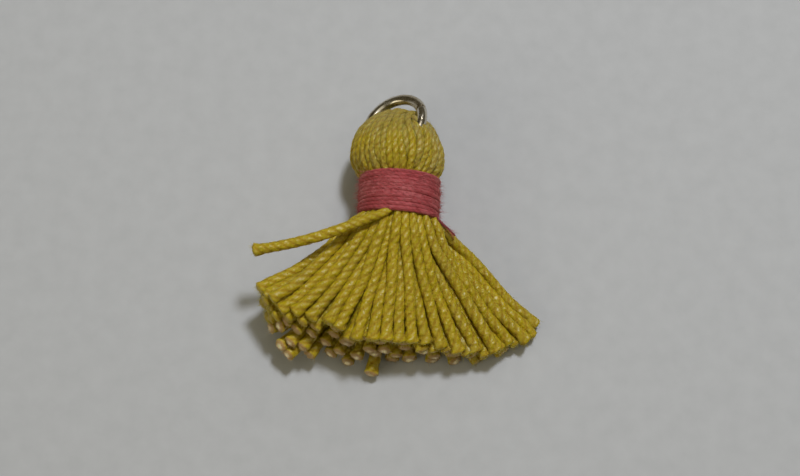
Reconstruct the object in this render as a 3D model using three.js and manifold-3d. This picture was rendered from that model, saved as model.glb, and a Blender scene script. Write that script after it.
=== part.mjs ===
// A mini tassel charm, lying on its back as it would on a table.
// Lengths of 3-ply cotton yarn are folded over a jump ring, bound round the neck with thread, and cut
// straight, and the cut ends fan out into a skirt.
//
// Millimetres, +Z up. The tassel's axis runs along Y: the ring is at +Y and the skirt's cut edge at -Y.
// The shapes below are set out from the middle of the binding (y = 0) with the table at z = 0. At the end
// the whole group moves so that its origin is the bottom centre of its bounding box.

import * as THREE from "three";
import { mergeVertices } from "three/addons/utils/BufferGeometryUtils.js";
import Module from "manifold-3d";

const wasm = await Module();
wasm.setup();

// ---------------------------------------------------------------- driving dimensions

const YARN = 0.9; // diameter of one yarn
const GAP = 0.3; // clearance between neighbouring pieces
const AXIS_HEIGHT = 4.0; // the neck's axis above the table

const RING = {
  outerDiameter: 6.1,
  wire: 0.9,
  seam: 0.12, // gap between the wire's butted ends
  centre: new THREE.Vector3(-0.6, 6.22, 5.1),
  normal: new THREE.Vector3(-0.46, 0.346, 0.817).normalize(), // it leans, its right side raised
  seamDirection: new THREE.Vector3(1, 0.25, 0), // the seam is on the raised side
};

const RING_MEAN_RADIUS = (RING.outerDiameter - RING.wire) / 2;

const BINDING = {
  length: 3.8,
  turns: 11,
  thread: 0.345, // thickness of the wound thread
  grooveShare: 0.6, // height of the groove between two turns, as a share of the thread
  crownShare: 0.4, // how much of a turn's width is its rounded top
  innerRadius: 3.05,
};
const NECK_RADIUS = BINDING.innerRadius - GAP;
const NECK_LENGTH = BINDING.length + 2 * GAP;

const HANK = {
  columns: 180, // points round a section of the hank
  skirtYarns: 45, // yarns that show round the skirt
  headYarns: 30, // and round the head, where they lie side by side
  shoulder: 0.4, // how far a yarn's back rounds off towards the groove, as a share of its depth
};

// The yarns swell out again as soon as they are past the binding.
const COLLAR = { along: -2.5, across: 0, halfWidth: 3.3, halfHeight: 3.0 };

const SKIRT = {
  length: 10.4, // from the collar to the cut, on average
  slant: 1.1, // the yarns of the right side are this much longer, and those of the left shorter
  underLength: 0.8, // the yarns of the underside are this much longer, on the left twice as much
  rightLean: 49, // how far the outer yarns lean from the axis, in degrees
  leftLean: 56,
  evenSpread: 0.25, // 0 crowds the yarns at the fan's sides, 0.25 spaces them evenly round the cut
  endCentreHeight: 2.9,
  endHalfHeight: 3.1, // more than the height of its middle, so that the underside lies flat
  rightDroop: 1.9, // the right side lies lower, the left side higher
  steps: 6,
  groove: 0.5, // depth of the grooves at the cut
  hollow: 1.1, // the middle of the cut face is set back
  hollowShare: 0.6, // size of that middle part, as a share of the cut face
  unevenness: 0.35, // how far single yarns end from the mean cut
};

// Half sections of the head, from the binding up to the fold over the ring.
const HEAD_SECTIONS = [
  { along: 2.4, across: -0.1, halfWidth: 3.75, halfHeight: 3.5 },
  { along: 2.8, across: -0.15, halfWidth: 4.0, halfHeight: 3.9 },
  { along: 3.5, across: -0.15, halfWidth: 4.15, halfHeight: 4.15 },
  { along: 4.4, across: -0.15, halfWidth: 4.15, halfHeight: 4.1 },
  { along: 5.3, across: -0.15, halfWidth: 3.9, halfHeight: 3.55 },
  { along: 6.1, across: -0.1, halfWidth: 3.35, halfHeight: 2.95 },
  { along: 6.8, across: -0.15, halfWidth: 2.7, halfHeight: 2.25 },
  { along: 7.35, across: -0.2, halfWidth: 2.05, halfHeight: 1.5 },
  { along: 7.7, across: -0.25, halfWidth: 1.4, halfHeight: 0.75 },
];

// The yarn end that stands away from the skirt, from the binding's edge to its tip.
const STRAY_ROUTE = [
  { across: -0.9, along: -2.5, height: 7.7 },
  { across: -2.1, along: -2.95, height: 7.7 },
  { across: -3.6, along: -3.45, height: 7.7 },
  { across: -6.6, along: -4.45, height: 7.6 },
  { across: -9.1, along: -5.15, height: 7.5 },
  { across: -11.5, along: -5.65, height: 7.4 },
];

// The binding thread's loose end, from the binding's edge along the skirt's right side.
const TAIL_THREAD = 0.3;
const TAIL_ROUTE = [
  { across: 3.6, along: -2.15, height: 4.1 },
  { across: 4.3, along: -2.7, height: 4.1 },
  { across: 5.0, along: -3.3, height: 4.1 },
];

// Facets round and along each turned or swept piece.
const FACETS = {
  binding: 26,
  ring: { round: 12, along: 40 },
  passage: { round: 8, along: 30 },
  strayEnd: { round: 8, along: 12 },
  bindingTail: { round: 6, along: 6 },
};

// ---------------------------------------------------------------- materials

const yarnMaterial = new THREE.MeshStandardMaterial({ color: "#b59a2e", roughness: 0.6, metalness: 0 });
const threadMaterial = new THREE.MeshStandardMaterial({ color: "#b23a4c", roughness: 0.75, metalness: 0 });
const ringMaterial = new THREE.MeshStandardMaterial({ color: "#c9c6bd", roughness: 0.2, metalness: 1 });

// ---------------------------------------------------------------- solids

/** Turns a closed geometry into a manifold solid. */
function solidOf(geometry) {
  const bare = geometry.index ? geometry.toNonIndexed() : geometry.clone();
  const places = new THREE.BufferGeometry().setAttribute("position", bare.getAttribute("position"));
  const merged = mergeVertices(places, 1e-4);
  return new wasm.Manifold(
    new wasm.Mesh({
      numProp: 3,
      vertProperties: merged.attributes.position.array,
      triVerts: new Uint32Array(merged.index.array),
    }),
  );
}

/** Turns a manifold solid back into a geometry. */
function geometryOf(solid) {
  const made = solid.getMesh();
  return new THREE.BufferGeometry()
    .setAttribute("position", new THREE.BufferAttribute(made.vertProperties, made.numProp))
    .setIndex(new THREE.BufferAttribute(made.triVerts, 1));
}

/** A number from -1 to 1 that looks random and is always the same for the same n. */
function scatter(n) {
  const turned = Math.sin(n * 12.9898 + 4.1414) * 43758.5453;
  return 2 * (turned - Math.floor(turned)) - 1;
}

/** A closed geometry from points and the index triples of its faces. */
function facesOver(places, faces) {
  const numbers = places.flatMap((place) => place.toArray());
  const geometry = new THREE.BufferGeometry();
  geometry.setAttribute("position", new THREE.Float32BufferAttribute(numbers, 3));
  return geometry.setIndex(faces);
}

/** A round bar that follows a path. */
function barAlong(path, diameter, facets) {
  const section = new THREE.Shape();
  for (let i = 0; i < facets.round; i++) {
    const angle = (2 * Math.PI * i) / facets.round;
    const x = (diameter / 2) * Math.cos(angle);
    const y = (diameter / 2) * Math.sin(angle);
    if (i === 0) section.moveTo(x, y);
    else section.lineTo(x, y);
  }
  return new THREE.ExtrudeGeometry(section, { extrudePath: path, steps: facets.along, curveSegments: 1 });
}

/** The smooth path through the { across, along, height } rows of a route. */
function pathOf(route) {
  return new THREE.CatmullRomCurve3(
    route.map((row) => new THREE.Vector3(row.across, row.along, row.height)),
  );
}

// ---------------------------------------------------------------- yarn hank

/** How far below the outer surface a column lies: 1 in the groove between two yarns, 0 on a yarn's back. */
function grooveShare(column, yarns) {
  const perYarn = HANK.columns / yarns;
  const place = (column % perYarn) / perYarn;
  return place === 0 ? 1 : HANK.shoulder * (2 * place - 1) ** 2;
}

/** The angle of a column round the hank, in radians, from the right side over the top. */
function columnAngle(column) {
  return (2 * Math.PI * column) / HANK.columns;
}

/** A closed ring of points round an elliptical section, with a groove between each pair of yarns. */
function fluted({ along, across = 0, halfWidth, halfHeight }, yarns) {
  const groove = (0.5 * Math.PI * (halfWidth + halfHeight)) / yarns;
  return Array.from({ length: HANK.columns }, (_, column) => {
    const angle = columnAngle(column);
    const depth = groove * grooveShare(column, yarns);
    return new THREE.Vector3(
      across + (halfWidth - depth) * Math.cos(angle),
      along,
      AXIS_HEIGHT + (halfHeight - depth) * Math.sin(angle),
    );
  });
}

/** Where the yarn that leaves the collar at this angle is cut, for a cut face scaled by size. */
function cutEnd(angle, size, setBack) {
  const spread = angle + SKIRT.evenSpread * Math.sin(2 * angle);
  const sideways = Math.cos(spread) * size;
  const lean = sideways > 0 ? SKIRT.rightLean : SKIRT.leftLean;
  const yaw = THREE.MathUtils.degToRad(lean * sideways);
  const under = Math.max(0, -Math.sin(spread)) * size;
  const extra = SKIRT.underLength * under * (1 - sideways);
  const reach = SKIRT.length + SKIRT.slant * sideways + extra - setBack;
  return new THREE.Vector3(
    COLLAR.halfWidth * sideways + reach * Math.sin(yaw),
    COLLAR.along - reach * Math.cos(yaw),
    SKIRT.endCentreHeight + SKIRT.endHalfHeight * Math.sin(spread) * size - SKIRT.rightDroop * sideways,
  );
}

/** How far back from the mean cut this column's yarn ends. */
function uneven(column) {
  const yarn = Math.floor((column * HANK.skirtYarns) / HANK.columns);
  return SKIRT.unevenness * scatter(yarn);
}

/** The rings of the skirt, from its cut edge up to the collar. */
function skirtRings() {
  const collar = fluted(COLLAR, HANK.skirtYarns);
  const rings = [];
  for (let step = SKIRT.steps; step > 0; step--) {
    const ring = collar.map((start, column) => {
      const depth = SKIRT.groove * grooveShare(column, HANK.skirtYarns);
      const size = 1 - depth / SKIRT.endHalfHeight;
      const end = cutEnd(columnAngle(column), size, depth / 2 + uneven(column));
      return start.clone().lerp(end, step / SKIRT.steps);
    });
    rings.push(ring);
  }
  return [...rings, collar];
}

/** The inside of the cut face: a smaller ring, set back from the cut edge. */
function cutFaceRing() {
  return Array.from({ length: HANK.columns }, (_, column) => {
    const setBack = SKIRT.hollow * (1 - grooveShare(column, HANK.skirtYarns) / 2) + uneven(column);
    return cutEnd(columnAngle(column), SKIRT.hollowShare, setBack);
  });
}

/** Faces between each ring and the next one, between the middle point and the first ring, and across the
 *  last ring, where the yarns of the upper side fold over to the lower side. */
function skinOf(middle, rings) {
  const places = [middle, ...rings.flat()];
  const faces = [];
  const at = (ring, column) => 1 + ring * HANK.columns + ((column + HANK.columns) % HANK.columns);
  for (let column = 0; column < HANK.columns; column++) faces.push(0, at(0, column), at(0, column + 1));
  for (let ring = 0; ring + 1 < rings.length; ring++)
    for (let column = 0; column < HANK.columns; column++) {
      const [a, b] = [at(ring, column), at(ring, column + 1)];
      const [c, d] = [at(ring + 1, column + 1), at(ring + 1, column)];
      faces.push(a, d, b, b, d, c);
    }
  const last = rings.length - 1;
  for (let column = 0; column < HANK.columns / 2; column++) {
    const [a, b] = [at(last, column), at(last, column + 1)];
    const [c, d] = [at(last, -column - 1), at(last, -column)];
    if (column > 0) faces.push(a, d, b);
    if (column + 1 < HANK.columns / 2) faces.push(b, d, c);
  }
  return facesOver(places, faces);
}

/** The space above the table, which gives the hank flat spots where it rests. */
function aboveTable() {
  const side = 60; // larger than the hank
  return solidOf(new THREE.BoxGeometry(side, side, side).translate(0, 0, side / 2));
}

/** Head, neck and skirt in one, with the passage that the ring runs through. */
function yarnHank() {
  const neck = { halfWidth: NECK_RADIUS, halfHeight: NECK_RADIUS };
  const neckEnd = fluted({ ...neck, along: -NECK_LENGTH / 2 }, HANK.skirtYarns);
  const neckTop = fluted({ ...neck, along: NECK_LENGTH / 2 }, HANK.headYarns);
  const head = HEAD_SECTIONS.map((row) => fluted(row, HANK.headYarns));
  const middle = cutEnd(Math.PI / 2, 0, SKIRT.hollow);
  const skin = skinOf(middle, [cutFaceRing(), ...skirtRings(), neckEnd, neckTop, ...head]);
  return geometryOf(solidOf(skin).intersect(aboveTable()).subtract(solidOf(ringPassage())));
}

// ---------------------------------------------------------------- jump ring

/** The jump ring's centre line in its own plane, with the seam at +X. */
class RingLine extends THREE.Curve {
  getPoint(t, target = new THREE.Vector3()) {
    const seamAngle = RING.seam / RING_MEAN_RADIUS;
    const turn = seamAngle / 2 + t * (2 * Math.PI - seamAngle);
    return target.set(RING_MEAN_RADIUS * Math.cos(turn), RING_MEAN_RADIUS * Math.sin(turn), 0);
  }
}

/** Where the jump ring lies: its own X to the seam, its own Z along its normal. */
function ringPlacement() {
  const across = RING.seamDirection.clone().projectOnPlane(RING.normal).normalize();
  const along = new THREE.Vector3().crossVectors(RING.normal, across);
  return new THREE.Matrix4().makeBasis(across, along, RING.normal).setPosition(RING.centre);
}

/** The space that the yarns leave for the ring: its whole round, GAP wider all over. */
function ringPassage() {
  const { round, along } = FACETS.passage;
  const radius = (RING.wire / 2 + GAP) / Math.cos(Math.PI / round);
  return new THREE.TorusGeometry(RING_MEAN_RADIUS, radius, round, along).applyMatrix4(ringPlacement());
}

/** Round wire bent to a ring, its ends butted. */
function jumpRing() {
  return barAlong(new RingLine(), RING.wire, FACETS.ring);
}

// ---------------------------------------------------------------- binding

/** Thread wound round the neck, about its own Y axis: each turn shows as a rounded ridge. */
function binding() {
  const { length, turns, thread, innerRadius, grooveShare: groove, crownShare: crown } = BINDING;
  const pitch = length / turns;
  const profile = [new THREE.Vector2(innerRadius, -length / 2)];
  for (let turn = 0; turn < turns; turn++) {
    const middle = -length / 2 + (turn + 0.5) * pitch;
    profile.push(new THREE.Vector2(innerRadius + thread * groove, middle - pitch / 2));
    profile.push(new THREE.Vector2(innerRadius + thread, middle - (pitch * crown) / 2));
    profile.push(new THREE.Vector2(innerRadius + thread, middle + (pitch * crown) / 2));
  }
  profile.push(new THREE.Vector2(innerRadius + thread * groove, length / 2));
  profile.push(new THREE.Vector2(innerRadius, length / 2));
  profile.push(profile[0].clone());
  return new THREE.LatheGeometry(profile, FACETS.binding);
}

// ---------------------------------------------------------------- assembly

/** A named mesh in the assembly. */
function piece(name, geometry, material) {
  const mesh = new THREE.Mesh(geometry, material);
  mesh.name = name;
  return mesh;
}

const hankPiece = piece("yarn_hank", yarnHank(), yarnMaterial);
const strayPiece = piece(
  "stray_yarn_end",
  barAlong(pathOf(STRAY_ROUTE), YARN, FACETS.strayEnd),
  yarnMaterial,
);
const bindingPiece = piece("binding", binding(), threadMaterial);
const tailPiece = piece(
  "binding_tail",
  barAlong(pathOf(TAIL_ROUTE), TAIL_THREAD, FACETS.bindingTail),
  threadMaterial,
);
const ringPiece = piece("jump_ring", jumpRing(), ringMaterial);

bindingPiece.position.set(0, 0, AXIS_HEIGHT);
ringPlacement().decompose(ringPiece.position, ringPiece.quaternion, ringPiece.scale);

const tassel = new THREE.Group();
tassel.add(hankPiece, strayPiece, bindingPiece, tailPiece, ringPiece);
tassel.updateMatrixWorld(true);

// The origin is the bottom centre of the whole tassel's bounding box.
const box = new THREE.Box3().setFromObject(tassel, true);
const centre = box.getCenter(new THREE.Vector3());
tassel.position.set(-centre.x, -centre.y, -box.min.z);
tassel.updateMatrixWorld(true);

export default tassel;
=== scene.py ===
"""A mini tassel of folded cotton yarn, with a thread binding round its neck and a jump ring.

The yarns are laid out in millimetres about the middle of the binding, as a maker lays them: through
the ring's eye, down both sides of the wire, through the binding and out into the skirt. They are then
relaxed until they lie side by side, and each becomes a twisted mesh tube. The place of the binding in
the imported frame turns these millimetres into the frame's metres.
"""
import logging
import math
from dataclasses import dataclass, field
from enum import Enum
from typing import Dict, List, NamedTuple, Optional, Sequence, Tuple, Union

import bpy
import numpy as np
from mathutils import Matrix, Vector

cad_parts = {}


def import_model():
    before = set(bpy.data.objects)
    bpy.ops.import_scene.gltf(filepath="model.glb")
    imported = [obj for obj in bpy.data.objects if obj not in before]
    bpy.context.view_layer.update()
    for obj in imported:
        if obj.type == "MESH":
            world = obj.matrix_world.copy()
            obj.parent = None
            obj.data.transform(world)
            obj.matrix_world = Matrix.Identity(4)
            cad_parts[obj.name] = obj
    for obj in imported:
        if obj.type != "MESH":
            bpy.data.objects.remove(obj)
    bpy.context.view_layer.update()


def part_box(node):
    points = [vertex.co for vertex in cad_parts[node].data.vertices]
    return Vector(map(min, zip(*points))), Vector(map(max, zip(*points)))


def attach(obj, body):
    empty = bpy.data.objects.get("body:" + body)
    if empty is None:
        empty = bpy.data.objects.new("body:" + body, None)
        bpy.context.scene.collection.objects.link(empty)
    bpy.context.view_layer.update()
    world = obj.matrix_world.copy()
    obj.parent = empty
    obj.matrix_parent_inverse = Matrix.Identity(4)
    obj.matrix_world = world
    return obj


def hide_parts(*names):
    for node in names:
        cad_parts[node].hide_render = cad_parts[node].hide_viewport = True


LOG = logging.getLogger("tassel")
MM = 0.001
TURN = 2 * math.pi
Pair = Tuple[float, float]
Triple = Tuple[float, float, float]
Array = np.ndarray
Values = Union[float, Array]
Key = Union[str, int]
Socket = bpy.types.NodeSocket
Random = np.random.Generator


class Level(Enum):
    """A layer of cut ends in the skirt, from the top one to the one on the surface."""

    TOP = "top"
    UPPER = "upper"
    MIDDLE = "middle"
    LOWER = "lower"
    BOTTOM = "bottom"


# ----- Directions and lines -----


def unit(vector: Sequence[float]) -> Array:
    """Returns the vector at a length of one."""
    made = np.asarray(vector, dtype=float)
    return made / np.linalg.norm(made)


def unit_rows(vectors: Array) -> Array:
    """Returns each row at a length of one."""
    return vectors / np.linalg.norm(vectors, axis=1, keepdims=True)


def around(angle: Array, side: Array, up: Array) -> Array:
    """Returns the directions at some angles in the plane of two side directions."""
    return np.cos(angle)[..., None] * side + np.sin(angle)[..., None] * up


def on_sky(azimuth: float, elevation: float) -> Vector:
    """Returns the direction to a place on the sky, its azimuth measured from straight behind."""
    turn, rise = math.radians(azimuth), math.radians(elevation)
    return Vector((math.sin(turn) * math.cos(rise), math.cos(turn) * math.cos(rise), math.sin(rise)))


def length_of(line: Array) -> float:
    """Returns a line's length."""
    return float(np.linalg.norm(np.diff(line, axis=0), axis=1).sum())


def evenly(line: Array, count: int) -> Array:
    """Spaces a number of points evenly along a line."""
    steps = np.linalg.norm(np.diff(line, axis=0), axis=1)
    along = np.concatenate([[0.0], np.cumsum(steps)])
    places = np.linspace(0, along[-1], count)
    return np.stack([np.interp(places, along, line[:, axis]) for axis in range(3)], axis=1)


def smooth_route(points: Array, count: int) -> Array:
    """Draws a smooth line through points, as a Catmull-Rom spline that allows for their spacing.

    Args:
        points: The points that the line passes through.
        count: How many points to give.

    Returns:
        Evenly spaced points on the line.
    """
    reach = np.vstack([2 * points[:1] - points[1:2], points, 2 * points[-1:] - points[-2:-1]])
    spans = np.linalg.norm(np.diff(reach, axis=0), axis=1) ** 0.5
    knots = np.concatenate([[0.0], np.cumsum(np.maximum(spans, 1e-4))])

    def between(at: Array, low: Array, high: Array, start: float, stop: float) -> Array:
        """Returns the mix of two points or lines between two knots."""
        return ((stop - at) * low + (at - start) * high) / (stop - start)

    line = []
    for first in range(len(reach) - 3):
        p, t = reach[first : first + 4], knots[first : first + 4]
        at = np.linspace(t[1], t[2], 24, endpoint=False)[:, None]
        a = [between(at, p[k], p[k + 1], t[k], t[k + 1]) for k in range(3)]
        b = [between(at, a[k], a[k + 1], t[k], t[k + 2]) for k in range(2)]
        line.append(between(at, b[0], b[1], t[1], t[2]))
    return evenly(np.vstack(line + [points[-1:]]), count)


def sunflower(count: int, radius: float) -> Array:
    """Spreads a number of points evenly over a disc, as seeds lie in a sunflower."""
    turn = math.pi * (3 - math.sqrt(5)) * (np.arange(count) + 0.5)
    reach = radius * np.sqrt((np.arange(count) + 0.5) / count)
    return np.stack([reach * np.cos(turn), reach * np.sin(turn)], axis=1)


def matched(first: Array, second: Array) -> Array:
    """Pairs two sets of places so that partners lie near each other.

    Args:
        first: The places to find partners for.
        second: As many places to choose from.

    Returns:
        For each row of the first set, the number of its partner in the second.
    """
    cost = ((first[:, None] - second[None]) ** 2).sum(axis=2)
    order = np.empty(len(first), dtype=int)
    order[np.argsort(first[:, 0])] = np.argsort(second[:, 0])
    rows, better = np.arange(len(order)), True
    while better:
        better = False
        for here in rows:
            now = cost[here, order[here]] + cost[rows, order]
            swapped = cost[here, order] + cost[rows, order[here]]
            there = int(np.argmax(now - swapped))
            if now[there] - swapped[there] > 1e-9:
                order[[here, there]] = order[[there, here]]
                better = True
    return order


def wander(rng: Random, count: int, waves: float, size: float) -> Array:
    """Gives a slow random drift along a line.

    Args:
        rng: Gives the drift.
        count: How many points the line has.
        waves: About how many rises and falls the drift has.
        size: Its largest amount.

    Returns:
        The drift at each point.
    """
    knots = rng.uniform(-size, size, max(4, int(2 * waves)))
    place = np.linspace(0, len(knots) - 1, count)
    low = np.clip(place.astype(int), 0, len(knots) - 2)
    share = place - low
    share = share * share * (3 - 2 * share)
    return knots[low] * (1 - share) + knots[low + 1] * share


# ----- The setting-out and the mesh drafts -----


@dataclass(frozen=True)
class SettingOut:
    """Where the setting-out's zero, on the surface below the binding's middle, lies in the frame."""

    zero: Array

    @classmethod
    def from_frame(cls) -> "SettingOut":
        """Reads the binding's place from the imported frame."""
        low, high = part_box("binding")
        return cls(np.array([(low[0] + high[0]) / 2, (low[1] + high[1]) / 2, 0.0]))

    def metres(self, points: Sequence) -> Array:
        """Turns set-out millimetres to metres of the frame."""
        return np.asarray(points) * MM + self.zero

    def millimetres(self, points: Sequence) -> Array:
        """Turns metres of the frame to set-out millimetres."""
        return (np.asarray(points) - self.zero) / MM


def wall(rows: int, columns: int) -> Tuple[Array, Array, Array]:
    """Lays the four-sided faces of a tube's wall.

    Args:
        rows: How many rings of points the tube has.
        columns: How many points a ring has.

    Returns:
        For each face's four corners, the point's number, its ring and its place round the tube.
    """
    row, column = np.meshgrid(np.arange(rows - 1), np.arange(columns), indexing="ij")
    row = np.stack([row, row, row + 1, row + 1], axis=-1).reshape(-1, 4)
    column = np.stack([column, column + 1, column + 1, column], axis=-1).reshape(-1, 4)
    return row * columns + column % columns, row, column


@dataclass
class Draft:
    """A mesh in the making, in set-out millimetres: joined tubes and fibres with what they carry."""

    points: List[Array] = field(default_factory=list)
    faces: List[Array] = field(default_factory=list)
    uvs: List[Array] = field(default_factory=list)
    carried: Dict[str, List[Array]] = field(default_factory=dict)
    count: int = 0

    def add(self, points: Array, faces: Sequence[Array], uvs: Sequence[Array], **carried: Values) -> None:
        """Adds one closed form, flat where it lies on the surface.

        Args:
            points: Its corners.
            faces: Groups of faces, each an array with a row for each face.
            uvs: For each group, the texture place of each face's corners.
            **carried: What all its corners or each of them carry: the groove says how far down a corner
                       lies
                between the plies, the cut how much it is a cut face, and the tone the shade of the dye with
                any painted shade.
        """
        self.faces += [group + self.count for group in faces]
        self.uvs += [group.reshape(-1, 2) for group in uvs]
        self.points.append(np.maximum(points, [-np.inf, -np.inf, 0.0]))
        for label, value in carried.items():
            self.carried.setdefault(label, []).append(np.broadcast_to(value, len(points)))
        self.count += len(points)

    def add_fibres(
        self, starts: Array, ways: Array, bends: Array, lengths: Array,
        thickness: float, tone: Array, cut: float = 0.0,
    ) -> None:
        """Adds short loose fibres, each a thin three-sided spike with a bend.

        Args:
            starts: Where each fibre leaves the yarn.
            ways: The direction in which it leaves.
            bends: The direction to which it bends, with the amount as its length.
            lengths: Each fibre's length.
            thickness: The radius at the root.
            tone: Each fibre's own shade.
            cut: How much the fibres look like a cut face, from 0 to 1.
        """
        rows, sides = 5, 3
        share = np.linspace(0, 1, rows)
        ways = unit_rows(ways)
        line = starts[:, None] + ways[:, None] * (lengths[:, None] * share)[..., None]
        line = line + bends[:, None] * (lengths[:, None] * share**2)[..., None]
        helper = np.where(np.abs(ways[:, 2:3]) < 0.8, [[0.0, 0.0, 1.0]], [[1.0, 0.0, 0.0]])
        side = unit_rows(np.cross(ways, helper))
        ring = around(TURN * np.arange(sides)[None] / sides, side[:, None], np.cross(ways, side)[:, None])
        size = thickness * (1 - 0.75 * share)
        points = line[:, :, None] + size[None, :, None, None] * ring[:, None]
        base = np.arange(len(starts))[:, None, None] * rows * sides
        ends = np.array([[0, 2, 1], [0, 1, 2]]) + [[0], [(rows - 1) * sides]]
        faces = [(group + base).reshape(-1, group.shape[1]) for group in (wall(rows, sides)[0], ends)]
        self.add(
            points.reshape(-1, 3), faces, [np.zeros((*group.shape, 2)) for group in faces],
            groove=0.15, cut=cut, tone=np.repeat(tone, rows * sides),
        )

    def finish(self, name: str, place: SettingOut, material: bpy.types.Material) -> bpy.types.Object:
        """Makes the mesh object.

        Args:
            name: The piece's name.
            place: The setting-out that gives the frame's metres.
            material: The piece's finish.

        Returns:
            The new object, at the origin.
        """
        mesh = bpy.data.meshes.new(name)
        faces = [row for group in self.faces for row in group.tolist()]
        mesh.from_pydata(place.metres(np.vstack(self.points)).tolist(), [], faces)
        layer = mesh.uv_layers.new(name="Strand")
        layer.data.foreach_set("uv", np.vstack(self.uvs).astype(np.float32).ravel())
        for label, values in self.carried.items():
            attribute = mesh.attributes.new(label, "FLOAT", "POINT")
            attribute.data.foreach_set("value", np.concatenate(values).astype(np.float32))
        mesh.materials.append(material)
        mesh.shade_smooth()
        mesh.validate()
        made = bpy.data.objects.new(name, mesh)
        bpy.context.scene.collection.objects.link(made)
        return made


class FibreKind(NamedTuple):
    """A kind of loose fibre: how many there are, their range of lengths and their radius at the root."""

    number: int
    shortest: float
    longest: float
    radius: float

    def lengths(self, rng: Random, number: int) -> Array:
        """Draws the lengths of a number of fibres."""
        return rng.uniform(self.shortest, self.longest, number)


@dataclass(frozen=True)
class Twist:
    """The section and Z twist of a plied yarn or thread, in millimetres.

    A cut end may swell over its last stretch, where its grooves open. A ragged cap closes it, whose
    width, lift and tip are shares of the radius.
    """

    plies: int = 3
    pitch: float = 3.1
    groove: float = 0.11
    columns: int = 18
    step: float = 0.145
    roundness: float = 0.8
    swelling: float = 1.1
    opened_groove: float = 1.2
    cap_width: float = 0.6
    cap_lift: float = 0.32
    cap_tip: float = 0.4
    ragged: float = 0.05

    def frames(self, line: Array) -> Tuple[Array, Array, Array]:
        """Carries a pair of side directions along a line without turning them about it.

        Args:
            line: The line's points.

        Returns:
            The line's directions and the two side directions at each point.
        """
        ahead = unit_rows(np.gradient(line, axis=0))
        side = np.zeros_like(ahead)
        start = np.cross(ahead[0], (0.0, 0.0, 1.0))
        side[0] = unit(start if np.linalg.norm(start) > 0.1 else np.cross(ahead[0], (1.0, 0.0, 0.0)))
        for here in range(1, len(line)):
            carried = side[here - 1] - ahead[here] * (side[here - 1] @ ahead[here])
            side[here] = carried / np.linalg.norm(carried)
        return ahead, side, np.cross(ahead, side)

    def tube(
        self, draft: Draft, line: Array, radius: Array, phase: float, tone: Values,
        opening: Pair = (0.0, 0.0), rough: Optional[Random] = None,
        turns: Optional[Array] = None, paleness: Pair = (0.0, 0.0),
    ) -> Tuple[Array, Array, Array]:
        """Adds a twisted tube along a line, closed at both ends.

        Args:
            draft: The mesh that takes the tube.
            line: Evenly spaced points, a step apart.
            radius: The yarn's radius at each point.
            phase: Where the first ply starts, in turns.
            tone: The strand's own shade, with any painted shade, for the whole or at each point.
            opening: How much the tube swells at each end, as a share of the radius.
            rough: Gives the small unevenness of the cut faces, or none.
            turns: How often the yarn has turned at each point, or none for an even twist.
            paleness: How pale the middle of each of the two cut faces is, from 0 to 1, partly as painted
                light.

        Returns:
            The line's directions and the two side directions at each point.
        """
        ahead, side, up = self.frames(line)
        rows, columns = len(line), self.columns
        along = np.arange(rows) * self.step
        to_end = np.minimum(along, along[-1] - along)
        swell = np.where(along < along[-1] / 2, *opening) * np.clip(1 - to_end / self.swelling, 0, 1) ** 2
        turn = along / self.pitch if turns is None else turns
        column = np.arange(columns) / columns
        lobe = np.abs(np.cos(math.pi * self.plies * column)) ** self.roundness
        depth = self.groove * (1 + self.opened_groove * swell)[:, None]
        size = (radius * (1 + swell))[:, None] * (1 - depth * (1 - lobe[None]))
        ring = around(TURN * (column[None] + phase + turn[:, None]), side[:, None], up[:, None])
        body = line[:, None] + size[..., None] * ring
        tones = np.broadcast_to(tone, rows)
        points, grooves = [body.reshape(-1, 3)], [np.tile(1 - lobe, rows)]
        cuts, shades = [np.zeros(rows * columns)], [np.repeat(tones, columns)]
        faces, row, spot = wall(rows, columns)
        groups, uvs = [faces], [np.stack([spot / columns + turn[row], along[row]], axis=-1)]
        here = rows * columns
        for row, outward, pale in ((0, -1.0, paleness[0]), (rows - 1, 1.0, paleness[1])):
            lift = np.zeros(columns) if rough is None else rough.uniform(-self.ragged, self.ragged, columns)
            inner = line[row] + self.cap_width * (body[row] - line[row])
            inner = inner + outward * ahead[row] * (self.cap_lift * radius[row] + lift)[:, None]
            tip = line[row] + outward * ahead[row] * self.cap_tip * radius[row]
            points += [inner, tip[None]]
            grooves.append(np.append(np.full(columns, 0.1), 0.3))
            cuts.append(np.append(np.full(columns, min(0.4, pale)), pale))
            shades.append(np.full(columns + 1, tones[row]))
            edge, rim = row * columns + np.arange(columns), here + np.arange(columns)
            quads = np.stack([edge, np.roll(edge, -1), np.roll(rim, -1), rim], axis=1)
            tris = np.stack([rim, np.roll(rim, -1), np.full(columns, here + columns)], axis=1)
            groups += [quads, tris] if outward > 0 else [quads[:, ::-1], tris[:, ::-1]]
            uvs += [np.zeros((columns, 4, 2)) + column[:, None, None], np.zeros((columns, 3, 2))]
            here += columns + 1
        draft.add(
            np.vstack(points), groups, uvs, groove=np.concatenate(grooves), cut=np.concatenate(cuts),
            tone=np.concatenate(shades),
        )
        return ahead, side, up


# ----- Finishes -----


def linear(hex_colour: str) -> Tuple[float, float, float, float]:
    """Turns an sRGB hex colour to linear red, green, blue and alpha, as a shader socket takes it."""
    channels = [int(hex_colour[place : place + 2], 16) / 255 for place in (1, 3, 5)]
    straight = [c / 12.92 if c <= 0.04045 else ((c + 0.055) / 1.055) ** 2.4 for c in channels]
    return (straight[0], straight[1], straight[2], 1.0)


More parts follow.
